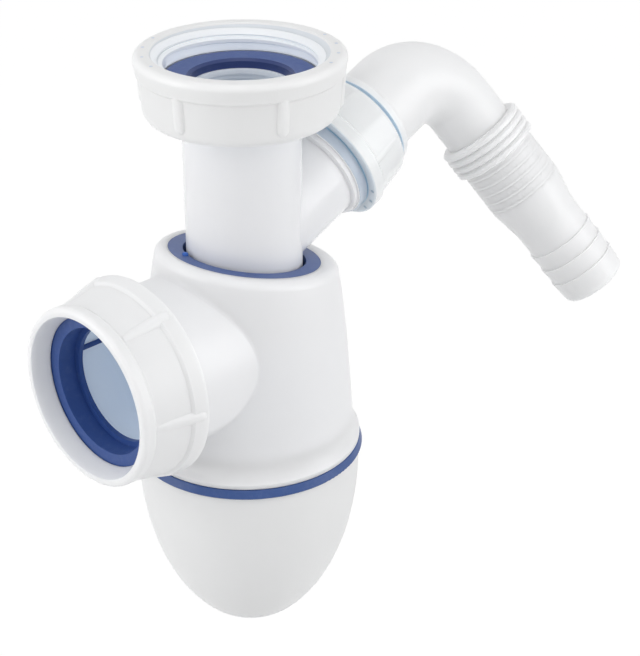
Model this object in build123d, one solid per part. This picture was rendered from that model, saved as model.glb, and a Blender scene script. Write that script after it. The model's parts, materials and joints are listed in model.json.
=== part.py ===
from build123d import *
import os
from math import cos, radians, sin, tan

# Clearances
turn_gap = 0.5
face_gap = 0.3
thread_gap = 0.4
edge_round = 0.5

# Inlet tube, its washer and its flange
tube_r = 18.2
tube_wall = 2.0
tube_end_z = -172.0
washer_r = 23.4
washer_hole_r = 15.5
washer_height = 3.0
washer_bevel = 0.8
flange_height = 3.2
collar_height = 3.0
mouth_step = 0.8

# Inlet nut
inlet_thread_r = 23.9
inlet_thread_length = 4.4
nut_rim_r = 32.3
nut_mouth_r = 27.2
nut_rim_z = 7.8
nut_height = 20.4
nut_band_height = 5.9
nut_panel_depth = 0.9
nut_narrowing = 1.0
nut_foot_round = 4.0
nut_rim_round = 2.0
rib_count = 6
rib_r = 2.4
rib_height = 1.0
inlet_rib_turn = 10.8

# Branch for the hose
branch_z = -52.6
branch_rise = 24.3
branch_r = 16.2
branch_bore_r = 13.8
branch_step_l = 32.4
branch_step_r = 17.6
branch_step_width = 2.0
branch_collar_r = 18.6
branch_collar_width = 3.4
branch_thread_r = 17.4
branch_thread_length = 12.0
branch_seal_width = 2.0

# Branch nut
branch_nut_r = 21.8
branch_nut_gap = 0.5
branch_nut_band = 4.0
branch_nut_lip = 2.0
branch_nut_mouth_r = 18.4
branch_nut_mouth_depth = 0.8
branch_nut_narrowing = 1.5
branch_nut_round = 2.0
branch_rib_turn = 22.0

# Hose elbow and stepped tail
elbow_r = 14.7
elbow_wall = 2.3
elbow_flange_width = 1.9
elbow_collar_r = 17.4
elbow_collar_width = 2.2
elbow_collar_slope = 1.5
elbow_turn = 90.0
elbow_corner_l = 91.0
elbow_bend_r = 19.0
elbow_swivel = -31.5
bend_steps = 5
arm_r = 12.0
tail_bore_r = 8.6
hose_thread_r = 14.95
hose_thread_depth = 1.1
hose_thread_pitch = 2.6
hose_crest_width = 1.04
hose_thread_turns = 4
hose_thread_start = 29.4
seat_r = 13.3
seat_length = 17.0
waist_r = 11.4
waist_run_length = 11.5
waist_length = 8.1
barb_height = 0.6
barb_pitch = 6.2
barb_count = 3
tail_tip_length = 2.5
tail_tip_round = 2.0

# Trap body
neck_z = -58.3
neck_slope = 11.0
neck_round = 3.0
body_wall = 2.4
body_top_r = 26.9
body_shoulder_step = 2.8
body_waist_step = 2.6
body_foot_step = 1.7
body_flange_step = 2.6
body_foot_z = -110.2
body_base_z = -122.5
body_lip_height = 1.4

# Neck seal
neck_wall = 3.0
neck_seal_depth = 15.0
neck_ledge = 2.4
neck_lip_height = 2.5
neck_funnel = 0.8

# Outlet socket, its seal and its nut
outlet_z = -84.4
outlet_r = 25.9
outlet_end_l = 55.8
outlet_blend = 1.5
outlet_bore_r = 20.9
pipe_r = 20.2
pipe_seat_length = 6.2
seal_sleeve_wall = 2.3
seal_flange_width = 3.5
seal_lip_r = 18.3
seal_lip_width = 1.5
outlet_nut_r = 32.0
outlet_nut_front_r = 28.4
outlet_nut_cover = 11.9
outlet_nut_length = 21.8
outlet_nut_band = 5.0
outlet_mouth_r = 25.7
outlet_throat_r = 23.9
outlet_lip_length = 3.6
outlet_lip_groove = 0.5
outlet_lip_round = 1.6
outlet_band_round = 0.8
outlet_rib_turn = 28.5

# Cup and its seal
cup_inset = 0.2
cup_depth = 63.8
cup_wall = 2.2
cup_steps = 8
cup_rim_height = 3.8
cup_neck_inset = 3.8
cup_neck_height = 11.0
cup_seal_proud = 1.1
cup_seal_narrowing = 1.1
cup_seal_height = 3.0

# Places worked out from the sizes above
tube_bore_r = tube_r - tube_wall
flange_r = washer_r
flange_z = -washer_height - flange_height
branch_collar_l = branch_step_l + branch_step_width
branch_thread_l = branch_collar_l + branch_collar_width
branch_end_l = branch_thread_l + branch_thread_length
branch_nut_start = branch_thread_l + branch_nut_gap
elbow_flange_l = branch_end_l + branch_seal_width + face_gap
branch_lip_l = elbow_flange_l + elbow_flange_width + face_gap
branch_nut_end = branch_lip_l + branch_nut_lip
elbow_collar_l = branch_nut_end + 3 * turn_gap
seal_face_l = outlet_end_l + seal_flange_width
seal_stop_l = seal_face_l - pipe_seat_length
seal_back_l = seal_stop_l - seal_lip_width
seal_sleeve_r = pipe_r + seal_sleeve_wall
outlet_nut_start = outlet_end_l - outlet_nut_cover
outlet_nut_end = outlet_nut_start + outlet_nut_length
outlet_nut_bore_r = outlet_r + thread_gap
body_shoulder_r = body_top_r + body_shoulder_step
body_waist_r = body_shoulder_r + body_waist_step
body_foot_r = body_waist_r + body_foot_step
body_flange_r = body_foot_r + body_flange_step
neck_seal_r = body_top_r - neck_wall
cup_r = body_flange_r - cup_inset
cup_neck_r = body_flange_r - cup_neck_inset
cup_seal_r = body_flange_r + cup_seal_proud
cup_seal_top_z = body_base_z - face_gap
cup_rim_z = cup_seal_top_z - cup_seal_height
cup_wide_z = cup_rim_z - cup_rim_height
cup_skirt_r = cup_neck_r + thread_gap
cup_neck_top_z = cup_rim_z + cup_neck_height
skirt_top_z = cup_neck_top_z + 2 * face_gap

# Frames of the outlet, the branch and the tail
rise = radians(branch_rise)
turn = radians(elbow_turn)
branch_out = Vector(cos(rise), 0, sin(rise))
branch_fall = Vector(sin(rise), 0, -cos(rise))
outlet_frame = Plane(origin=(0, 0, outlet_z), x_dir=(0, 0, 1), z_dir=(-1, 0, 0))
branch_frame = Plane(origin=(0, 0, branch_z), x_dir=branch_fall, z_dir=branch_out)
elbow_frame = branch_frame * Plane(Location((0, 0, 0), (0, 0, elbow_swivel)))
tail_out = Vector(sin(turn), 0, cos(turn))
tail_side = Vector(cos(turn), 0, -sin(turn))
tail_frame = Plane(origin=(0, 0, elbow_corner_l), x_dir=tail_side, z_dir=tail_out)
neck_plane = Plane(origin=(0, 0, neck_z), x_dir=(0, 1, 0), z_dir=(tan(radians(neck_slope)), 0, 1))


# Solid turned about Z from corners given as radius, height and corner rounding
def turned(*corners):
    points = [(r, z) for r, z, _ in corners]
    outline = FilletPolyline(*points, radius=[c for _, _, c in corners], close=True)
    return revolve(Plane.XZ * make_face(outline), Axis.Z)


# Round bar between two heights and two radii
def bar(r_low, z_low, r_high, z_high):
    return turned((0, z_low, 0), (r_low, z_low, 0), (r_high, z_high, 0), (0, z_high, 0))


# Ribs that stand out of a nut as the crowns of round bars sunk in its wall
def nut_ribs(r_low, z_low, r_high, z_high, turn_deg):
    foot = Vector(r_low + rib_height - rib_r, 0, z_low)
    head = Vector(r_high + rib_height - rib_r, 0, z_high)
    lean = Plane(origin=foot, z_dir=head - foot)
    rib = lean * bar(rib_r, 0, rib_r, (head - foot).length)
    rib += Pos(foot) * Sphere(rib_r)
    rib += Pos(head) * Sphere(rib_r)
    spots = [Rot(0, 0, turn_deg + step * 360 / rib_count) for step in range(rib_count)]
    return [spot * rib for spot in spots]


# Inlet washer: soft flat ring on the tube's flange
inlet_washer = turned(
    (washer_hole_r, -washer_height, 0),
    (washer_r, -washer_height, 0),
    (washer_r, 0, washer_bevel / 2),
    (washer_hole_r + washer_bevel, 0, 0),
    (washer_hole_r, -washer_bevel, 0),
)

# Inlet nut: ring nut that hangs on the tube's flange
nut_foot_z = nut_rim_z - nut_height
nut_band_z = nut_rim_z - nut_band_height
nut_panel_r = nut_rim_r - 2 * nut_panel_depth
nut_foot_r = nut_panel_r - nut_narrowing
nut_hole_r = tube_r + turn_gap
nut_pocket_r = flange_r + 2 * turn_gap
nut_shoulder_z = flange_z - turn_gap
nut_cone_z = nut_shoulder_z - collar_height - turn_gap
inlet_nut = turned(
    (nut_mouth_r, nut_rim_z, 0),
    (nut_rim_r, nut_rim_z, nut_rim_round),
    (nut_rim_r - nut_panel_depth, nut_band_z, 0),
    (nut_panel_r, nut_band_z - nut_panel_depth, 0),
    (nut_foot_r, nut_foot_z, nut_foot_round),
    (nut_hole_r, nut_foot_z, 0),
    (nut_hole_r, nut_cone_z, 0),
    (flange_r + turn_gap, nut_shoulder_z, 0),
    (nut_pocket_r, nut_shoulder_z, 0),
    (nut_pocket_r, 0, 0),
    (inlet_thread_r, 0, 0),
    (inlet_thread_r, inlet_thread_length, 0),
)
rib_foot_z = nut_foot_z + nut_foot_round + rib_r / 2
rib_foot_r = nut_panel_r - nut_narrowing * (nut_band_z - rib_foot_z) / (nut_band_z - nut_foot_z)
inlet_nut += nut_ribs(rib_foot_r, rib_foot_z, nut_panel_r, nut_band_z, inlet_rib_turn)

# Inlet tube: dip tube with its flange and the branch for the hose, in one moulding
tube_outer = turned(
    (0, -washer_height, 0),
    (flange_r, -washer_height, 0),
    (flange_r, flange_z, 0),
    (tube_r, flange_z - collar_height, 0),
    (tube_r, tube_end_z, 0),
    (0, tube_end_z, 0),
)
branch_outer = turned(
    (0, 0, 0),
    (branch_r, 0, 0),
    (branch_r, branch_step_l, 0),
    (branch_step_r, branch_step_l + branch_step_width / 4, 0),
    (branch_step_r, branch_collar_l, 0),
    (branch_collar_r, branch_collar_l, edge_round),
    (branch_collar_r, branch_thread_l, 0),
    (branch_thread_r, branch_thread_l, 0),
    (branch_thread_r, branch_end_l, 0),
    (0, branch_end_l, 0),
)
tube_bore = turned(
    (0, -washer_height, 0),
    (washer_hole_r - mouth_step, -washer_height, 0),
    (washer_hole_r - mouth_step, -washer_height - 2 * mouth_step, 0),
    (tube_bore_r - mouth_step, -washer_height - 3 * mouth_step, 0),
    (tube_bore_r - mouth_step, flange_z, 0),
    (tube_bore_r, flange_z - mouth_step, 0),
    (tube_bore_r, tube_end_z, 0),
    (0, tube_end_z, 0),
)
inlet_tube = tube_outer + branch_frame * branch_outer
inlet_tube -= tube_bore
inlet_tube -= branch_frame * bar(branch_bore_r, 0, branch_bore_r, branch_end_l)

# Branch seal: flat ring between the branch's end and the elbow's flange
branch_seal = branch_frame * turned(
    (branch_bore_r, branch_end_l, 0),
    (branch_thread_r - face_gap, branch_end_l, 0),
    (branch_thread_r - face_gap, branch_end_l + branch_seal_width, 0),
    (branch_bore_r, branch_end_l + branch_seal_width, 0),
)

# Branch nut: small ring nut that holds the elbow on the branch
branch_nut_bore_r = branch_thread_r + thread_gap
branch_band_l = branch_nut_start + branch_nut_band
branch_panel_r = branch_nut_r - nut_panel_depth
branch_nut_tip_r = branch_panel_r - branch_nut_narrowing
branch_nut = turned(
    (0, branch_nut_start, 0),
    (branch_nut_r, branch_nut_start, edge_round),
    (branch_nut_r, branch_band_l, 0),
    (branch_panel_r, branch_band_l + nut_panel_depth, 0),
    (branch_nut_tip_r, branch_nut_end, branch_nut_round),
    (0, branch_nut_end, 0),
)
branch_nut += nut_ribs(
    branch_panel_r - rib_height / 2,
    branch_band_l,
    branch_nut_tip_r - rib_height / 2,
    branch_nut_end - branch_nut_round - rib_r / 2,
    branch_rib_turn,
)
branch_nut -= turned(
    (0, branch_nut_start, 0),
    (branch_nut_mouth_r, branch_nut_start, 0),
    (branch_nut_bore_r, branch_nut_start + branch_nut_mouth_depth, 0),
    (branch_nut_bore_r, branch_lip_l, 0),
    (elbow_r + turn_gap, branch_lip_l, 0),
    (elbow_r + turn_gap, branch_nut_end, 0),
    (0, branch_nut_end, 0),
)
branch_nut = branch_frame * branch_nut

# Hose elbow: swivel flange, sharp bend and stepped hose tail, in one moulding
bend_reach = elbow_bend_r * tan(turn / 2)
bend_start_l = elbow_corner_l - bend_reach


# Bend lofted through circles that narrow softly from the first arm's radius to the second's
def bend(r_start, r_end):
    sections = []
    for step in range(bend_steps + 1):
        swing = turn * step / bend_steps
        x = elbow_bend_r * (1 - cos(swing))
        z = bend_start_l + elbow_bend_r * sin(swing)
        place = Plane(origin=(x, 0, z), x_dir=(0, 1, 0), z_dir=(sin(swing), 0, cos(swing)))
        narrowing = (r_start - r_end) * (sin(swing) / sin(turn)) ** 2
        sections.append(place * Circle(r_start - narrowing))
    return loft(sections)


hose_thread_end = hose_thread_start + hose_thread_turns * hose_thread_pitch
seat_end = hose_thread_end + seat_length
waist_start = seat_end + waist_run_length
barb_start = waist_start + waist_length
tip_start = barb_start + barb_count * barb_pitch
tail_end = tip_start + tail_tip_length
hose_root_r = hose_thread_r - hose_thread_depth
hose_flank_width = (hose_thread_pitch - hose_crest_width) / 2
tail_corners = [(0, bend_reach, 0), (arm_r, bend_reach, 0), (arm_r, hose_thread_start, 0)]
for ridge in range(hose_thread_turns):
    ridge_l = hose_thread_start + ridge * hose_thread_pitch
    tail_corners += [
        (hose_root_r, ridge_l, 0),
        (hose_thread_r, ridge_l + hose_flank_width, 0),
        (hose_thread_r, ridge_l + hose_flank_width + hose_crest_width, 0),
    ]
tail_corners += [
    (hose_root_r, hose_thread_end, 0),
    (seat_r, hose_thread_end, 0),
    (seat_r, seat_end, waist_run_length),
    (waist_r, waist_start, waist_run_length),
]
for barb in range(barb_count):
    barb_l = barb_start + barb * barb_pitch
    tail_corners += [(waist_r, barb_l, 0), (waist_r + barb_height, barb_l, 0)]
tail_corners += [(waist_r, tip_start, 0), (waist_r, tail_end, tail_tip_round), (0, tail_end, 0)]
elbow_arm = turned(
    (0, elbow_flange_l, 0),
    (branch_thread_r - face_gap, elbow_flange_l, 0),
    (branch_thread_r - face_gap, elbow_flange_l + elbow_flange_width, 0),
    (elbow_r, elbow_flange_l + elbow_flange_width, 0),
    (elbow_r, elbow_collar_l, 0),
    (elbow_collar_r, elbow_collar_l, 0),
    (elbow_collar_r, elbow_collar_l + elbow_collar_width, edge_round),
    (elbow_r, elbow_collar_l + elbow_collar_width + elbow_collar_slope, elbow_collar_slope),
    (elbow_r, bend_start_l, 0),
    (0, bend_start_l, 0),
)
elbow_bore_r = elbow_r - elbow_wall
arm_bore_r = arm_r - elbow_wall
tail_bore = turned(
    (0, bend_reach, 0),
    (arm_bore_r, bend_reach, 0),
    (arm_bore_r, hose_thread_start, 0),
    (tail_bore_r, hose_thread_end, 0),
    (tail_bore_r, tail_end, 0),
    (0, tail_end, 0),
)
hose_elbow = elbow_arm + bend(elbow_r, arm_r) + tail_frame * turned(*tail_corners)
hose_elbow -= bar(elbow_bore_r, elbow_flange_l, elbow_bore_r, bend_start_l)
hose_elbow -= bend(elbow_bore_r, arm_bore_r)
hose_elbow -= tail_frame * tail_bore
hose_elbow = elbow_frame * hose_elbow

# Trap body: bottle shape with a slanted neck, hollow, with the outlet's socket on its side
neck_reach = body_flange_r * tan(radians(neck_slope))
body_top_z = neck_z + neck_reach
shoulder_z = neck_z - neck_reach
waist_z = (shoulder_z + body_foot_z) / 2
body_side = Spline(
    (body_top_r, body_top_z),
    (body_shoulder_r, shoulder_z),
    (body_waist_r, waist_z),
    (body_foot_r, body_foot_z),
)
lip_top_z = body_base_z + body_lip_height
body_outline = [
    body_side,
    Spline((body_foot_r, body_foot_z), (body_flange_r, lip_top_z), tangents=[body_side % 1, (1, -1)]),
    Polyline((body_flange_r, lip_top_z), (body_flange_r, body_base_z), (0, body_base_z)),
    Polyline((0, body_base_z), (0, body_top_z), (body_top_r, body_top_z)),
]
trap_body = revolve(Plane.XZ * make_face(Curve() + body_outline), Axis.Z)
trap_body = split(trap_body, bisect_by=neck_plane, keep=Keep.BOTTOM)
rim_edges = trap_body.faces().sort_by(Axis.Z)[-1].edges()
trap_body = fillet(rim_edges, neck_round)
socket = outlet_frame * bar(outlet_r, tube_r, outlet_r, outlet_end_l)
trap_body += socket
socket_edge = trap_body.edges().filter_by(GeomType.BSPLINE).sort_by(Axis.X)[0]
trap_body = fillet(socket_edge, outlet_blend)

ledge_z = neck_z - neck_seal_depth
cavity_top_z = ledge_z - neck_ledge
cavity = turned(
    (0, cavity_top_z, 0),
    (body_shoulder_r - body_wall, cavity_top_z, body_wall),
    (body_waist_r - body_wall, waist_z, 0),
    (body_foot_r - body_wall, body_foot_z, 0),
    (body_foot_r - body_wall, skirt_top_z, 0),
    (cup_skirt_r, skirt_top_z, 0),
    (cup_skirt_r, body_base_z, 0),
    (0, body_base_z, 0),
)
trap_body -= cavity
trap_body -= bar(neck_seal_r, ledge_z, neck_seal_r, body_top_z)
trap_body -= bar(tube_r + 2 * turn_gap, cavity_top_z, tube_r + 2 * turn_gap, ledge_z)
trap_body -= outlet_frame * bar(outlet_bore_r, tube_r, outlet_bore_r, seal_back_l)
trap_body -= outlet_frame * bar(seal_sleeve_r, seal_back_l, seal_sleeve_r, outlet_end_l)

# Neck seal: soft ring flush with the slanted neck, with a lip round the tube
lip_r = tube_r + face_gap
lip_z = ledge_z + neck_lip_height
neck_seal = turned(
    (lip_r, ledge_z, 0),
    (neck_seal_r, ledge_z, 0),
    (neck_seal_r, body_top_z, 0),
    (lip_r + neck_funnel, body_top_z, 0),
    (lip_r + neck_funnel, lip_z + neck_funnel, 0),
    (lip_r, lip_z, 0),
)
neck_seal = split(neck_seal, bisect_by=neck_plane, keep=Keep.BOTTOM)

# Outlet seal: soft cup in the socket's end with a stop for the pipe
outlet_seal = outlet_frame * turned(
    (pipe_r, seal_face_l, 0),
    (outlet_r, seal_face_l, 0),
    (outlet_r, outlet_end_l, 0),
    (seal_sleeve_r, outlet_end_l, 0),
    (seal_sleeve_r, seal_back_l, 0),
    (seal_lip_r, seal_back_l, 0),
    (seal_lip_r, seal_stop_l, 0),
    (pipe_r, seal_stop_l, 0),
)

# Outlet nut: ring nut that squeezes the seal on the pipe
nut_shoulder_l = seal_face_l + face_gap
outlet_band_l = outlet_nut_start + outlet_nut_band
outlet_panel_r = outlet_nut_r - 2 * nut_panel_depth
outlet_lip_l = outlet_nut_end - outlet_lip_length
outlet_nut = turned(
    (0, outlet_nut_start, 0),
    (outlet_nut_r, outlet_nut_start, outlet_band_round),
    (outlet_nut_r - nut_panel_depth, outlet_band_l, 0),
    (outlet_panel_r, outlet_band_l + nut_panel_depth, 0),
    (outlet_nut_front_r - outlet_lip_groove, outlet_lip_l - 2 * outlet_lip_groove, 0),
    (outlet_nut_front_r, outlet_lip_l, 0),
    (outlet_nut_front_r, outlet_nut_end, outlet_lip_round),
    (0, outlet_nut_end, 0),
)
outlet_nut += nut_ribs(
    outlet_nut_r - nut_panel_depth,
    outlet_nut_start + outlet_nut_band / 2,
    outlet_nut_front_r - rib_height,
    outlet_lip_l - rib_r,
    outlet_rib_turn,
)
outlet_nut -= turned(
    (0, outlet_nut_start, 0),
    (outlet_nut_bore_r, outlet_nut_start, 0),
    (outlet_nut_bore_r, nut_shoulder_l, 0),
    (outlet_throat_r, nut_shoulder_l, 0),
    (outlet_mouth_r, outlet_nut_end, 0),
    (0, outlet_nut_end, 0),
)
outlet_nut = outlet_frame * outlet_nut

# Cup seal: soft band between the body and the cup
cup_seal = turned(
    (cup_neck_r, cup_rim_z, 0),
    (cup_seal_r, cup_rim_z, edge_round),
    (cup_seal_r - cup_seal_narrowing, cup_seal_top_z, edge_round),
    (cup_neck_r, cup_seal_top_z, 0),
)

# Cup: egg-shaped sump with a neck that screws up into the body
cup_inner_r = cup_r - cup_wall
cup_neck_bore_r = cup_neck_r - cup_wall
cup_sweep = [radians(90 * step / cup_steps) for step in range(cup_steps + 1)]
cup_curve = [(cup_r * cos(t), cup_wide_z - cup_depth * sin(t)) for t in cup_sweep]
cup_bowl = [(cup_inner_r * cos(t), cup_wide_z - (cup_depth - cup_wall) * sin(t)) for t in cup_sweep]
cup_outline = [
    Spline(*cup_curve, tangents=[(0, -1), (-1, 0)]),
    Line(cup_curve[-1], cup_bowl[-1]),
    Spline(*cup_bowl, tangents=[(0, -1), (-1, 0)]),
    Polyline(
        cup_bowl[0],
        (cup_neck_bore_r, cup_rim_z - cup_wall),
        (cup_neck_bore_r, cup_neck_top_z),
        (cup_neck_r, cup_neck_top_z),
        (cup_neck_r, cup_rim_z),
        (cup_r, cup_rim_z),
        cup_curve[0],
    ),
]
cup = revolve(Plane.XZ * make_face(Curve() + cup_outline), Axis.Z)

# One file for each piece
pieces = {
    "inlet_nut": inlet_nut,
    "inlet_washer": inlet_washer,
    "inlet_tube": inlet_tube,
    "branch_seal": branch_seal,
    "branch_nut": branch_nut,
    "hose_elbow": hose_elbow,
    "neck_seal": neck_seal,
    "trap_body": trap_body,
    "outlet_seal": outlet_seal,
    "outlet_nut": outlet_nut,
    "cup_seal": cup_seal,
    "cup": cup,
}
os.makedirs("parts", exist_ok=True)
for name, piece in pieces.items():
    export_step(piece, f"parts/{name}.step")
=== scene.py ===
import json
import math

import bmesh
import bpy
from mathutils import Matrix, Vector


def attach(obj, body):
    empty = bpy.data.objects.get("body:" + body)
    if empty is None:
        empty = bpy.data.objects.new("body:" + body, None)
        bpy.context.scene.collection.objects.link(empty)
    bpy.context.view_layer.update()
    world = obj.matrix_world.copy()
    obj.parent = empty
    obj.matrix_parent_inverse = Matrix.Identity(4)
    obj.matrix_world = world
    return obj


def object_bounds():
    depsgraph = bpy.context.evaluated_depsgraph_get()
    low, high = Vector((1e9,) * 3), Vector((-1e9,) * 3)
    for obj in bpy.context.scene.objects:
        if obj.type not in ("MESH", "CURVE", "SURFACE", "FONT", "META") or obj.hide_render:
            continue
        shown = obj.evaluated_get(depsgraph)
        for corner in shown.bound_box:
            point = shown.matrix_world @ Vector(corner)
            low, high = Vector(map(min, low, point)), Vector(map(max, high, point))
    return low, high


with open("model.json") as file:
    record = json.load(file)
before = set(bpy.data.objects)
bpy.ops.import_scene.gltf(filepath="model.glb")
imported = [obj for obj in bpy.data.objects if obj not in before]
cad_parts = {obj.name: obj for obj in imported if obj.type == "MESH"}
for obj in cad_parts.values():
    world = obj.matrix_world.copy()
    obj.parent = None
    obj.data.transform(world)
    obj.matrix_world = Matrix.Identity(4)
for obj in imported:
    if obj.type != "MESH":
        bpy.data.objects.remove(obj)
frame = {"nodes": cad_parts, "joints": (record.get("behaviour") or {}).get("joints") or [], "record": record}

cad_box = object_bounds()


# Inlet nut: the wide ring nut on top, injection moulded in white polypropylene with a satin
# mould grain. It hangs on the tube's flange and screws up on the sink waste, so its mouth has a
# coarse inside thread, which is added here as one helix on the wall.

# A group of nodes that several materials share
def new_effect(name, colours_in, values_in, colours_out, values_out):
    group = bpy.data.node_groups.new(name, "ShaderNodeTree")
    for side, kind, names in (
        ("INPUT", "NodeSocketColor", colours_in),
        ("INPUT", "NodeSocketFloat", values_in),
        ("OUTPUT", "NodeSocketColor", colours_out),
        ("OUTPUT", "NodeSocketFloat", values_out),
    ):
        for socket in names:
            group.interface.new_socket(socket, in_out=side, socket_type=kind)
    return group


# Clouds and grain of moulded plastic
def plastic_effect():
    group = new_effect(
        "moulded_plastic", ["Tint"], ["Cloud", "Finish", "Finish Spread", "Grain Size"],
        ["Color"], ["Roughness", "Height"],
    )
    add, link = group.nodes.new, group.links.new
    given, result = add("NodeGroupInput"), add("NodeGroupOutput")
    place = add("ShaderNodeTexCoord")
    # Slow clouds in the colour, where the melt cooled unevenly
    flow = add("ShaderNodeTexNoise")
    flow.inputs["Scale"].default_value = 30.0
    flow.inputs["Detail"].default_value = 3.0
    flow.inputs["Distortion"].default_value = 0.6
    link(place.outputs["Object"], flow.inputs["Vector"])
    dim = add("ShaderNodeMath")
    dim.operation = "MULTIPLY"
    link(flow.outputs["Fac"], dim.inputs[0])
    link(given.outputs["Cloud"], dim.inputs[1])
    rest = add("ShaderNodeMath")
    rest.operation = "SUBTRACT"
    rest.inputs[0].default_value = 1.0
    link(dim.outputs[0], rest.inputs[1])
    tone = add("ShaderNodeVectorMath")
    tone.operation = "SCALE"
    link(given.outputs["Tint"], tone.inputs[0])
    link(rest.outputs[0], tone.inputs["Scale"])
    link(tone.outputs[0], result.inputs["Color"])
    # The same clouds in the gloss
    gloss = add("ShaderNodeMath")
    gloss.operation = "MULTIPLY_ADD"
    link(flow.outputs["Fac"], gloss.inputs[0])
    link(given.outputs["Finish Spread"], gloss.inputs[1])
    link(given.outputs["Finish"], gloss.inputs[2])
    link(gloss.outputs[0], result.inputs["Roughness"])
    # Fine grain of the mould's steel
    grain = add("ShaderNodeTexNoise")
    grain.inputs["Detail"].default_value = 2.0
    link(place.outputs["Object"], grain.inputs["Vector"])
    link(given.outputs["Grain Size"], grain.inputs["Scale"])
    link(grain.outputs["Fac"], result.inputs["Height"])
    return group


moulded_plastic = plastic_effect()
grain_strength = 0.6


def plastic(name, tint, finish, spread, cloud, grain_size, grain_depth, depth_of_light=0.0):
    material = bpy.data.materials.new(name)
    material.use_nodes = True
    tree = material.node_tree
    shader = tree.nodes["Principled BSDF"]
    shader.inputs["Subsurface Weight"].default_value = 1.0 if depth_of_light else 0.0
    shader.inputs["Subsurface Radius"].default_value = (1.0, 1.0, 1.0)
    shader.inputs["Subsurface Scale"].default_value = depth_of_light
    look = tree.nodes.new("ShaderNodeGroup")
    look.node_tree = moulded_plastic
    look.inputs["Tint"].default_value = (*tint, 1)
    look.inputs["Cloud"].default_value = cloud
    look.inputs["Finish"].default_value = finish
    look.inputs["Finish Spread"].default_value = spread
    look.inputs["Grain Size"].default_value = grain_size
    bump = tree.nodes.new("ShaderNodeBump")
    bump.inputs["Distance"].default_value = grain_depth
    bump.inputs["Strength"].default_value = grain_strength
    tree.links.new(look.outputs["Color"], shader.inputs["Base Color"])
    tree.links.new(look.outputs["Roughness"], shader.inputs["Roughness"])
    tree.links.new(look.outputs["Height"], bump.inputs["Height"])
    tree.links.new(bump.outputs["Normal"], shader.inputs["Normal"])
    return material


def dress(node, material):
    mesh = frame["nodes"][node].data
    mesh.materials.clear()
    mesh.materials.append(material)


# A zone with painted shade in a cold tint, and with a painted glow that stands in for light coming through
# the wall
def painted_light_zone_effect():
    group = new_effect(
        "painted_light_zone", ["Color", "Glow", "Painted Shade", "Painted Glow"], ["Reach", "Middle", "Half"],
        ["Color", "Glow"], [],
    )
    add, link = group.nodes.new, group.links.new
    given, result = add("NodeGroupInput"), add("NodeGroupOutput")
    inside = add("ShaderNodeMath")
    inside.operation = "COMPARE"
    for number, name in enumerate(("Reach", "Middle", "Half")):
        link(given.outputs[name], inside.inputs[number])
    for kind, in_zone in (("Color", "Painted Shade"), ("Glow", "Painted Glow")):
        either = add("ShaderNodeMix")
        either.data_type = "RGBA"
        link(inside.outputs[0], either.inputs["Factor"])
        link(given.outputs[kind], either.inputs["A"])
        link(given.outputs[in_zone], either.inputs["B"])
        link(either.outputs["Result"], result.inputs[kind])
    return group


painted_light_zone = painted_light_zone_effect()


# Paints shade into a zone of a material, and a glow of light where one is given
def paint_zone_light_and_shade(material, reach, middle, half, tint, glow=None):
    tree = material.node_tree
    shader = tree.nodes["Principled BSDF"]
    zone = tree.nodes.new("ShaderNodeGroup")
    zone.node_tree = painted_light_zone
    zone.inputs["Painted Shade"].default_value = (*tint, 1)
    zone.inputs["Middle"].default_value = middle
    zone.inputs["Half"].default_value = half
    tree.links.new(reach, zone.inputs["Reach"])
    fed = {"Color": "Base Color"}
    if glow:
        zone.inputs["Glow"].default_value = (0, 0, 0, 1)
        zone.inputs["Painted Glow"].default_value = (*glow, 1)
        shader.inputs["Emission Strength"].default_value = 1.0
        fed["Glow"] = "Emission Color"
    for kind, socket in fed.items():
        earlier = shader.inputs[socket].links
        if earlier:
            tree.links.new(earlier[0].from_socket, zone.inputs[kind])
        tree.links.new(zone.outputs[kind], shader.inputs[socket])


# How far a point of a piece reaches, from its place put through vector steps
def reach_by(material, *steps):
    tree = material.node_tree
    reach = tree.nodes.new("ShaderNodeTexCoord").outputs["Object"]
    for operation, *vectors in steps:
        step = tree.nodes.new("ShaderNodeVectorMath")
        step.operation = operation
        tree.links.new(reach, step.inputs[0])
        for vector in vectors:
            step.inputs[1].default_value = vector
        reach = step.outputs["Value" if operation in ("LENGTH", "DOT_PRODUCT") else "Vector"]
    return reach


def reach_round(material, centre, axis):
    return reach_by(material, ("SUBTRACT", centre), ("CROSS_PRODUCT", axis), ("LENGTH",))


inlet_centre = (0, 0, 0)
inlet_axis = (0, 0, 1)
nut_grain = {"spread": 0.10, "cloud": 0.04, "grain_size": 2200.0, "grain_depth": 0.00003}
nut_light_depth = 0.0016
satin_white = plastic(
    "satin_white_plastic", (0.86, 0.86, 0.855), finish=0.36, depth_of_light=nut_light_depth,
    **nut_grain,
)
dress("inlet_nut", satin_white)
# Painted shade and painted light: the lead-in cone is painted a darker cold tone, and the thread's wall a
# cold tone with a painted glow, standing in for the light that the thick ring carries in
cone_reach = 0.0268
wall_reach = 0.0243
nut_reach = reach_round(satin_white, inlet_centre, inlet_axis)
paint_zone_light_and_shade(satin_white, nut_reach, 0, cone_reach, tint=(0.74, 0.77, 0.80))
paint_zone_light_and_shade(satin_white, nut_reach, 0, wall_reach, tint=(0.80, 0.84, 0.86), glow=(0.24, 0.25, 0.26))

scene = bpy.context.scene
weld_gap = 1e-7
sharp_angle = math.radians(35)


def piece_from(name, bm, place, material, body):
    bmesh.ops.remove_doubles(bm, verts=bm.verts, dist=weld_gap)
    bmesh.ops.recalc_face_normals(bm, faces=bm.faces)
    bmesh.ops.transform(bm, matrix=place, verts=bm.verts)
    mesh = bpy.data.meshes.new(name)
    bm.to_mesh(mesh)
    bm.free()
    mesh.shade_smooth()
    mesh.set_sharp_from_angle(angle=sharp_angle)
    mesh.materials.append(material)
    piece = bpy.data.objects.new(name, mesh)
    scene.collection.objects.link(piece)
    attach(piece, body)


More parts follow.
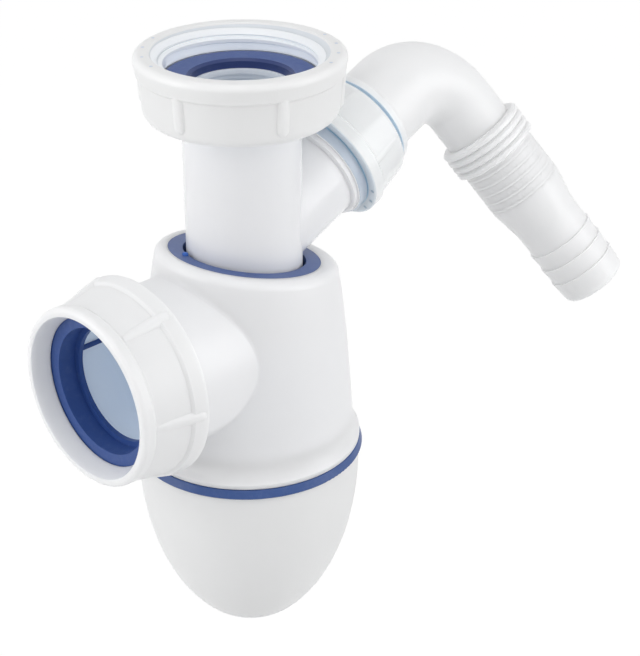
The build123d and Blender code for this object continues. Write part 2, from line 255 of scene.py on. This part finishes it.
def closed_outline(bm, corners):
    verts = [bm.verts.new((r, 0, z)) for r, z in corners]
    return verts + [bm.edges.new((verts[i - 1], verts[i])) for i in range(len(verts))]


wall_r = 0.0239
crest_r = 0.0231
thread_sunk = 0.0012
root_half = 0.00095
crest_half = 0.0005
pitch = 0.002309
turns = 2.3
thread_foot = 0.0005
thread_start = math.radians(117)
cone_foot = 0.0044
cone_slope = 0.97
steps_a_turn = 96
thread_steps = int(turns * steps_a_turn)
fade_steps = 48
thread_corners = [
    (wall_r + thread_sunk, 0),
    (wall_r, 0),
    (crest_r, root_half - crest_half),
    (crest_r, root_half + crest_half),
    (wall_r, 2 * root_half),
    (wall_r + thread_sunk, 2 * root_half),
]
thread = bmesh.new()
bmesh.ops.spin(
    thread, geom=closed_outline(thread, thread_corners), cent=inlet_centre, axis=inlet_axis,
    dvec=(0, 0, pitch / steps_a_turn), angle=2 * math.pi * turns, steps=thread_steps, use_merge=False,
)
# Spin makes the corners step by step, so a corner's number gives its step. The thread follows the
# wall out into the lead-in, and runs out at both ends.
for number, vert in enumerate(thread.verts):
    step = number // len(thread_corners)
    share = min(1.0, step / fade_steps, (thread_steps - step) / fade_steps)
    reach = math.hypot(vert.co.x, vert.co.y)
    new_reach = wall_r + (reach - wall_r) * (share if reach < wall_r else 1.0)
    new_reach += max(0.0, thread_foot + vert.co.z - cone_foot) * cone_slope
    vert.co.x *= new_reach / reach
    vert.co.y *= new_reach / reach
bmesh.ops.holes_fill(thread, edges=thread.edges, sides=len(thread_corners))
# The thread is too thin to carry light, so it has a low painted glow all over in place of that light
satin_thread = plastic("satin_white_thread", (0.86, 0.87, 0.88), finish=0.36, **nut_grain)
thread_shader = satin_thread.node_tree.nodes["Principled BSDF"]
thread_shader.inputs["Emission Color"].default_value = (0.06, 0.07, 0.08, 1)
thread_shader.inputs["Emission Strength"].default_value = 1.0
thread_place = Matrix.Translation((0, 0, thread_foot)) @ Matrix.Rotation(thread_start, 4, "Z")
piece_from("inlet_thread", thread, thread_place, satin_thread, "inlet_nut")

pin_height = 0.00006
pin_taper = 0.8


# Round marks of the mould's ejector pins, in two groups on opposite sides of a face
def pin_marks(name, face, ring_r, mark_r, count, start, step, tint, body):
    marks = bmesh.new()
    for side in (0, 180):
        for number in range(count):
            turn = Matrix.Rotation(math.radians(side + start + number * step), 4, "Z")
            bmesh.ops.create_cone(
                marks, cap_ends=True, segments=24, radius1=mark_r, radius2=mark_r * pin_taper,
                depth=pin_height, matrix=turn @ Matrix.Translation((ring_r, 0, 0)),
            )
    # The marks' bluish tint is painted light, set by each call
    marks_painted_light = plastic(
        name, tint, finish=0.4, spread=0.1, cloud=0.05, grain_size=2200.0, grain_depth=0.00002,
    )
    piece_from(name, marks, face, marks_painted_light, body)


rim_z = cad_box[1][2]
# Painted glint: the inlet nut's marks are tinted a pale cold blue for their translucent glint on the rim
pin_marks(
    "inlet_nut_marks", Matrix.Translation((0, 0, rim_z)), ring_r=0.0292, mark_r=0.0006,
    count=4, start=111.5, step=18.1, tint=(0.66, 0.72, 0.83), body="inlet_nut",
)


# Inlet washer: a flat ring of soft blue elastomer with a bevelled hole, laid loose on the
# tube's flange. The waste's end presses on it. Its skin is matt with a little mould bloom.
def bloom_effect():
    group = new_effect("mould_bloom", ["Color"], ["Bloom", "Bloom Size"], ["Color"], [])
    add, link = group.nodes.new, group.links.new
    given, result = add("NodeGroupInput"), add("NodeGroupOutput")
    place = add("ShaderNodeTexCoord")
    specks = add("ShaderNodeTexNoise")
    specks.inputs["Detail"].default_value = 5.0
    specks.inputs["Roughness"].default_value = 0.7
    link(place.outputs["Object"], specks.inputs["Vector"])
    link(given.outputs["Bloom Size"], specks.inputs["Scale"])
    span = add("ShaderNodeMapRange")
    span.inputs["From Min"].default_value = 0.5
    span.inputs["From Max"].default_value = 0.75
    link(specks.outputs["Fac"], span.inputs["Value"])
    link(given.outputs["Bloom"], span.inputs["To Max"])
    dust = add("ShaderNodeMix")
    dust.data_type = "RGBA"
    dust.inputs["B"].default_value = (0.20, 0.26, 0.42, 1)
    link(span.outputs["Result"], dust.inputs["Factor"])
    link(given.outputs["Color"], dust.inputs["A"])
    link(dust.outputs["Result"], result.inputs["Color"])
    return group


mould_bloom = bloom_effect()
seal_specular = 0.35


def elastomer(name, tint, bloom, bloom_size):
    material = plastic(
        name, tint, finish=0.30, spread=0.14, cloud=0.18, grain_size=1700.0, grain_depth=0.00005,
    )
    tree = material.node_tree
    shader = tree.nodes["Principled BSDF"]
    shader.inputs["Specular IOR Level"].default_value = seal_specular
    skin = tree.nodes.new("ShaderNodeGroup")
    skin.node_tree = mould_bloom
    skin.inputs["Bloom"].default_value = bloom
    skin.inputs["Bloom Size"].default_value = bloom_size
    tree.links.new(shader.inputs["Base Color"].links[0].from_socket, skin.inputs["Color"])
    tree.links.new(skin.outputs["Color"], shader.inputs["Base Color"])
    return material


blue_washer = elastomer("blue_washer", (0.040, 0.086, 0.290), bloom=0.2, bloom_size=420.0)
dress("inlet_washer", blue_washer)
# The bevelled hole takes less light
bevel_reach = 0.0163
washer_reach = reach_round(blue_washer, inlet_centre, inlet_axis)
paint_zone_light_and_shade(blue_washer, washer_reach, 0, bevel_reach, tint=(0.026, 0.046, 0.16))


# Inlet tube: the dip tube with its flange and its side branch in one glossy white moulding.
# It drops through the neck seal into the cup, and the branch carries a short outside thread.
def reach_along(material, axis):
    return reach_by(material, ("DOT_PRODUCT", axis))


joints = {joint["name"]: joint for joint in frame["joints"]}
branch_centre = Vector(joints["elbow_swivel"]["pos_m"])
branch_axis = Vector(joints["elbow_swivel"]["axis"])
branch_root = branch_axis.dot(branch_centre)
gloss_tube = plastic(
    "gloss_white_tube", (0.85, 0.85, 0.86), finish=0.18, spread=0.08, cloud=0.03, grain_size=700.0,
    grain_depth=0.000012, depth_of_light=0.0025,
)
dress("inlet_tube", gloss_tube)
# The branch's thread is lit cold in its nut's mouth, and shaded just before it
lit_thread_at = branch_root + 0.0412
lit_thread_half = 0.0033
shaded_thread_at = branch_root + 0.0362
shaded_thread_half = 0.0017
out_reach = reach_along(gloss_tube, branch_axis)
paint_zone_light_and_shade(
    gloss_tube, out_reach, lit_thread_at, lit_thread_half, tint=(0.50, 0.62, 0.70),
    glow=(0.06, 0.09, 0.12),
)
paint_zone_light_and_shade(gloss_tube, out_reach, shaded_thread_at, shaded_thread_half, tint=(0.52, 0.58, 0.66))
# The tube's mouth and its end in the body are lit cold too
mouth_half = 0.0125
dip_end_z = -0.125
dip_end_half = 0.047
down_reach = reach_along(gloss_tube, inlet_axis)
paint_zone_light_and_shade(gloss_tube, down_reach, 0, mouth_half, tint=(0.78, 0.82, 0.87), glow=(0.06, 0.07, 0.085))
paint_zone_light_and_shade(
    gloss_tube, down_reach, dip_end_z, dip_end_half, tint=(0.64, 0.71, 0.79), glow=(0.06, 0.073, 0.09),
)

# Branch seal and branch nut: a thin blue ring, and a small nut in clear-toned glossy plastic that
# screws on the branch and traps the elbow's flange. The nut was moulded thin, so light enters it.
dress("branch_seal", blue_washer)
gloss_branch_nut = plastic(
    "gloss_white_branch_nut", (0.85, 0.86, 0.86), finish=0.12, spread=0.10, cloud=0.05, grain_size=170.0,
    grain_depth=0.00012, depth_of_light=0.0022,
)
dress("branch_nut", gloss_branch_nut)
face_at = 0.0383
face_half = 0.0003
mouth_reach = 0.0188
branch_side = Vector((branch_axis.z, 0, -branch_axis.x))
branch_turn = Matrix((branch_side, Vector((0, -1, 0)), -branch_axis)).transposed().to_4x4()
branch_face = Matrix.Translation(branch_centre + branch_axis * face_at) @ branch_turn
# Painted shade: the branch nut's marks are tinted a dark cold blue, as they sit on the shaded face
pin_marks(
    "branch_nut_marks", branch_face, ring_r=0.0203, mark_r=0.0007,
    count=3, start=37.9, step=16.4, tint=(0.36, 0.47, 0.56), body="branch_nut",
)
# Painted shade in a cold tone on the nut's open face
paint_zone_light_and_shade(
    gloss_branch_nut, reach_along(gloss_branch_nut, branch_axis), branch_root + face_at, face_half,
    tint=(0.73, 0.78, 0.82),
)
# Painted cold shade and a painted glow inside the nut's mouth
paint_zone_light_and_shade(
    gloss_branch_nut, reach_round(gloss_branch_nut, branch_centre, branch_axis), 0, mouth_reach,
    tint=(0.55, 0.68, 0.76), glow=(0.05, 0.075, 0.10),
)

# Hose elbow: a right-angled satin white moulding that turns in the branch nut. Its tail has a
# short outside thread, a plain seat with fine turned rings and a barbed end for a thinner hose.
elbow_look = {
    "tint": (0.88, 0.88, 0.88), "finish": 0.30, "spread": 0.10, "cloud": 0.03,
    "grain_size": 1500.0, "grain_depth": 0.00002,
}
satin_elbow = plastic("satin_white_elbow", depth_of_light=0.0016, **elbow_look)
dress("hose_elbow", satin_elbow)
# A thin cold line of light where the elbow leaves its nut
elbow_line_at = 0.0569
elbow_line_half = 0.0010
paint_zone_light_and_shade(
    satin_elbow, reach_along(satin_elbow, branch_axis), branch_root + elbow_line_at, elbow_line_half,
    tint=(0.66, 0.73, 0.79), glow=(0.05, 0.056, 0.064),
)

mounts = {mount["name"]: mount for mount in frame["record"]["mounts"]}
seat = mounts["hose_seat"]
seat_r = seat["dims"]["r_mm"] / 1000
seat_length = seat["dims"]["length_mm"] / 1000
seat_turn = Vector(seat["axis"]).to_track_quat("Z", "Y").to_matrix().to_4x4()
seat_place = Matrix.Translation(seat["pos_m"]) @ seat_turn
ring_count = 5
ring_step = 0.0033
ring_height = 0.00008
ring_width = 0.0009
ring_crest = 0.85 * ring_width
ring_sunk = 0.0003
seat_margin = 0.0014
rings = bmesh.new()
for number in range(ring_count):
    start = seat_margin - seat_length / 2 + number * ring_step
    ring_corners = [
        (seat_r - ring_sunk, start),
        (seat_r, start),
        (seat_r + ring_height, start + ring_crest),
        (seat_r, start + ring_width),
        (seat_r - ring_sunk, start + ring_width),
    ]
    bmesh.ops.spin(
        rings, geom=closed_outline(rings, ring_corners), cent=(0, 0, 0), axis=(0, 0, 1),
        angle=2 * math.pi, steps=120, use_merge=True,
    )
satin_rings = plastic("satin_white_rings", **elbow_look)
piece_from("tail_rings", rings, seat_place, satin_rings, "elbow")

# Neck seal: a thick blue ring pressed flush in the slanted neck, which grips the tube where it is
# set. A small moulding nub stands on its face at the high side.
blue_neck_seal = elastomer("blue_neck_seal", (0.054, 0.110, 0.32), bloom=0.2, bloom_size=380.0)
dress("neck_seal", blue_neck_seal)

neck_slant = math.radians(11.0)
neck_z = -0.0583
nub_at = Vector((-0.0191, 0.0061, 0.0))
nub_at.z = neck_z - nub_at.x * math.tan(neck_slant)
nub_place = Matrix.Translation(nub_at) @ Matrix.Rotation(neck_slant, 4, "Y")
nub_r = 0.001
nub_sunk = 0.0003
nub_shoulder = 0.00025
nub_crown = 0.00063
dome_angles = [math.radians(angle) for angle in (0, 30, 60, 90)]
nub_corners = [(0, -nub_sunk), (nub_r, -nub_sunk)]
nub_corners += [(nub_r * math.cos(a), nub_shoulder + nub_crown * math.sin(a)) for a in dome_angles]
nub = bmesh.new()
nub_verts = [nub.verts.new((r, 0, z)) for r, z in nub_corners]
nub_edges = [nub.edges.new(pair) for pair in zip(nub_verts, nub_verts[1:])]
bmesh.ops.spin(
    nub, geom=nub_verts + nub_edges, cent=(0, 0, 0), axis=(0, 0, 1), angle=2 * math.pi, steps=32,
    use_merge=True,
)
# The nub is painted a brighter blue than its seal: a painted highlight on the small drop
blue_nub = elastomer("blue_nub", (0.04, 0.15, 0.55), bloom=0.1, bloom_size=380.0)
piece_from("seal_nub", nub, nub_place, blue_nub, "trap")

# Trap body: the bottle-shaped housing with its slanted neck and outlet socket in one moulding,
# in glossy white polypropylene. Its wall lets a little light through to the inside.
gloss_body = plastic(
    "gloss_white_body", (0.85, 0.85, 0.855), finish=0.32, spread=0.08, cloud=0.03, grain_size=600.0,
    grain_depth=0.000012, depth_of_light=0.0030,
)
dress("trap_body", gloss_body)
# The socket's inside is a long egg-shaped zone round the outlet's axis, painted a cold pale shade with a
# painted glow that stands in for light through the wall and off the blue seal
socket_z = mounts["outlet"]["pos_m"][2]
socket_middle = (-0.040, 0, socket_z)
socket_stretch = (0.4, 1, 1)
socket_reach = 0.0235
paint_zone_light_and_shade(
    gloss_body,
    reach_by(gloss_body, ("SUBTRACT", socket_middle), ("MULTIPLY", socket_stretch), ("LENGTH",)),
    0, socket_reach, tint=(0.70, 0.77, 0.85), glow=(0.11, 0.125, 0.14),
)

# Outlet seal: a deep blue collar in the socket's end that grips the waste pipe, with a stop lip
# at its back and a slim tongue along the socket's wall, left by the mould's feed channel.
blue_outlet_seal = elastomer("blue_outlet_seal", (0.030, 0.080, 0.29), bloom=0.1, bloom_size=420.0)
dress("outlet_seal", blue_outlet_seal)

tongue_size = (0.022, 0.0009, 0.0017)
tongue_edge = 0.0003
tongue_at = (-0.0405, 0.02025, socket_z + 0.00372)
tongue_lean = math.radians(10.436)
tongue = bmesh.new()
bmesh.ops.create_cube(tongue, size=1.0)
bmesh.ops.scale(tongue, vec=tongue_size, verts=tongue.verts)
bmesh.ops.bevel(
    tongue, geom=list(tongue.edges), offset=tongue_edge, segments=3, profile=0.5, affect="EDGES",
    material=-1,
)
tongue_place = Matrix.Translation(tongue_at) @ Matrix.Rotation(tongue_lean, 4, "X")
piece_from("outlet_seal_tongue", tongue, tongue_place, blue_outlet_seal, "trap")

# Outlet nut: the wide nut on the socket, in the same satin white as the inlet nut, with wedge
# ribs for the hand. It screws on the socket and squeezes the seal on the pipe.
satin_outlet_nut = plastic(
    "satin_white_outlet_nut", (0.86, 0.86, 0.86), finish=0.34, depth_of_light=nut_light_depth,
    **nut_grain,
)
dress("outlet_nut", satin_outlet_nut)

# Cup seal: a blue elastomer band, moulded as one ring and squeezed between the body and the cup.
# It is seen as a thin line all round.
blue_cup_seal = elastomer("blue_cup_seal", (0.044, 0.095, 0.28), bloom=0.15, bloom_size=420.0)
dress("cup_seal", blue_cup_seal)

# Cup: the egg-shaped sump that screws up into the body by hand, in white plastic with a finer,
# duller grain than the body, so it takes no sharp reflection.
matte_cup = plastic(
    "matte_white_cup", (0.84, 0.84, 0.835), finish=0.46, spread=0.08, cloud=0.03, grain_size=2800.0,
    grain_depth=0.00004, depth_of_light=0.0016,
)
dress("cup", matte_cup)


# Floor: a wide sheet of pale paper, low enough for the cup when the trap is slid down. It is
# white to the eye and in reflections, and keeps a little of the shadow.
def white_when_seen(tree, output, plain, white, share):
    rays = tree.nodes.new("ShaderNodeLightPath")
    seen = rays.outputs["Is Camera Ray"]
    for kind in ("Is Glossy Ray", "Is Transmission Ray"):
        either = tree.nodes.new("ShaderNodeMath")
        either.operation = "MAXIMUM"
        tree.links.new(seen, either.inputs[0])
        tree.links.new(rays.outputs[kind], either.inputs[1])
        seen = either.outputs[0]
    part = tree.nodes.new("ShaderNodeMath")
    part.operation = "MULTIPLY"
    part.inputs[1].default_value = share
    tree.links.new(seen, part.inputs[0])
    blend = tree.nodes.new("ShaderNodeMixShader")
    tree.links.new(part.outputs[0], blend.inputs["Fac"])
    tree.links.new(plain.outputs[0], blend.inputs[1])
    tree.links.new(white.outputs[0], blend.inputs[2])
    tree.links.new(blend.outputs[0], output.inputs["Surface"])


floor_z = cad_box[0][2] - joints["height_slide"]["range_m"][1]
floor_half = 4.0
paper_white = 1.02
paper_share = 0.96
floor_mesh = bpy.data.meshes.new("floor")
sheet = bmesh.new()
bmesh.ops.create_grid(sheet, x_segments=1, y_segments=1, size=floor_half)
bmesh.ops.translate(sheet, vec=(0, 0, floor_z), verts=sheet.verts)
sheet.to_mesh(floor_mesh)
sheet.free()
floor = bpy.data.objects.new("floor", floor_mesh)
scene.collection.objects.link(floor)
paper = bpy.data.materials.new("pale_paper")
paper.use_nodes = True
paper_nodes = paper.node_tree.nodes
paper_nodes.clear()
paper_surface = paper_nodes.new("ShaderNodeOutputMaterial")
fibre = paper_nodes.new("ShaderNodeBsdfDiffuse")
fibre.inputs["Color"].default_value = (0.90, 0.90, 0.90, 1)
bleach = paper_nodes.new("ShaderNodeEmission")
bleach.inputs["Strength"].default_value = paper_white
white_when_seen(paper.node_tree, paper_surface, fibre, bleach, paper_share)
floor_mesh.materials.append(paper)

# Light tent: a white cloth all round, white to the eye and in reflections, with an even low fill
# for all else.
tent_fill = 0.50
tent = bpy.data.worlds.new("light_tent")
scene.world = tent
tent.use_nodes = True
tent_nodes = tent.node_tree.nodes
tent_nodes.clear()
tent_surface = tent_nodes.new("ShaderNodeOutputWorld")
fill = tent_nodes.new("ShaderNodeBackground")
fill.inputs["Color"].default_value = (0.97, 0.98, 1.0, 1)
fill.inputs["Strength"].default_value = tent_fill
cloth = tent_nodes.new("ShaderNodeBackground")
cloth.inputs["Color"].default_value = (1, 1, 1, 1)
white_when_seen(tent.node_tree, tent_surface, fill, cloth, share=1.0)

trap_middle = Vector((0, 0, -0.09))


# Soft boxes: one at each side a little to the front, one above, one high in front, and a slim
# strip that draws the bright streak down the body. All are aimed at the trap's middle.
def soft_box(name, place, size, power):
    lamp = bpy.data.lights.new(name, "AREA")
    lamp.shape = "RECTANGLE"
    lamp.size, lamp.size_y = size
    lamp.energy = power
    box = bpy.data.objects.new(name, lamp)
    scene.collection.objects.link(box)
    box.location = place
    aim = trap_middle - Vector(place)
    box.rotation_euler = aim.to_track_quat("-Z", "Y").to_euler()


soft_box("left_box", place=(-0.85, 0.45, 0.15), size=(0.6, 0.9), power=4.5)
soft_box("right_box", place=(0.55, -0.85, 0.15), size=(0.5, 0.9), power=3.2)
soft_box("top_box", place=(-0.1, -0.1, 0.95), size=(0.7, 0.7), power=1.5)
soft_box("front_box", place=(-0.55, -0.60, 0.75), size=(0.8, 0.6), power=1.7)
soft_box("strip", place=(0.05, -0.95, 0.35), size=(0.06, 0.7), power=0.8)

# Camera: at the photograph's place and angle. Its focal length was fitted in pixels of a frame
# that is 640 wide.
photo_width = 640
focal_pixels = 1715.6
eye = Vector((-0.3293, -0.3612, 0.1671))
ahead = Vector((0.6298, 0.6271, -0.4583)).normalized()
across = ahead.cross(Vector((0, 0, 1))).normalized()
upward = across.cross(ahead)
lens = bpy.data.cameras.new("camera")
lens.sensor_fit = "HORIZONTAL"
lens.sensor_width = 36.0
lens.lens = lens.sensor_width * focal_pixels / photo_width
lens.clip_start = 0.01
camera = bpy.data.objects.new("camera", lens)
scene.collection.objects.link(camera)
camera_turn = Matrix((across, upward, -ahead)).transposed().to_4x4()
camera.matrix_world = Matrix.Translation(eye) @ camera_turn
scene.camera = camera
scene.view_settings.view_transform = "Standard"
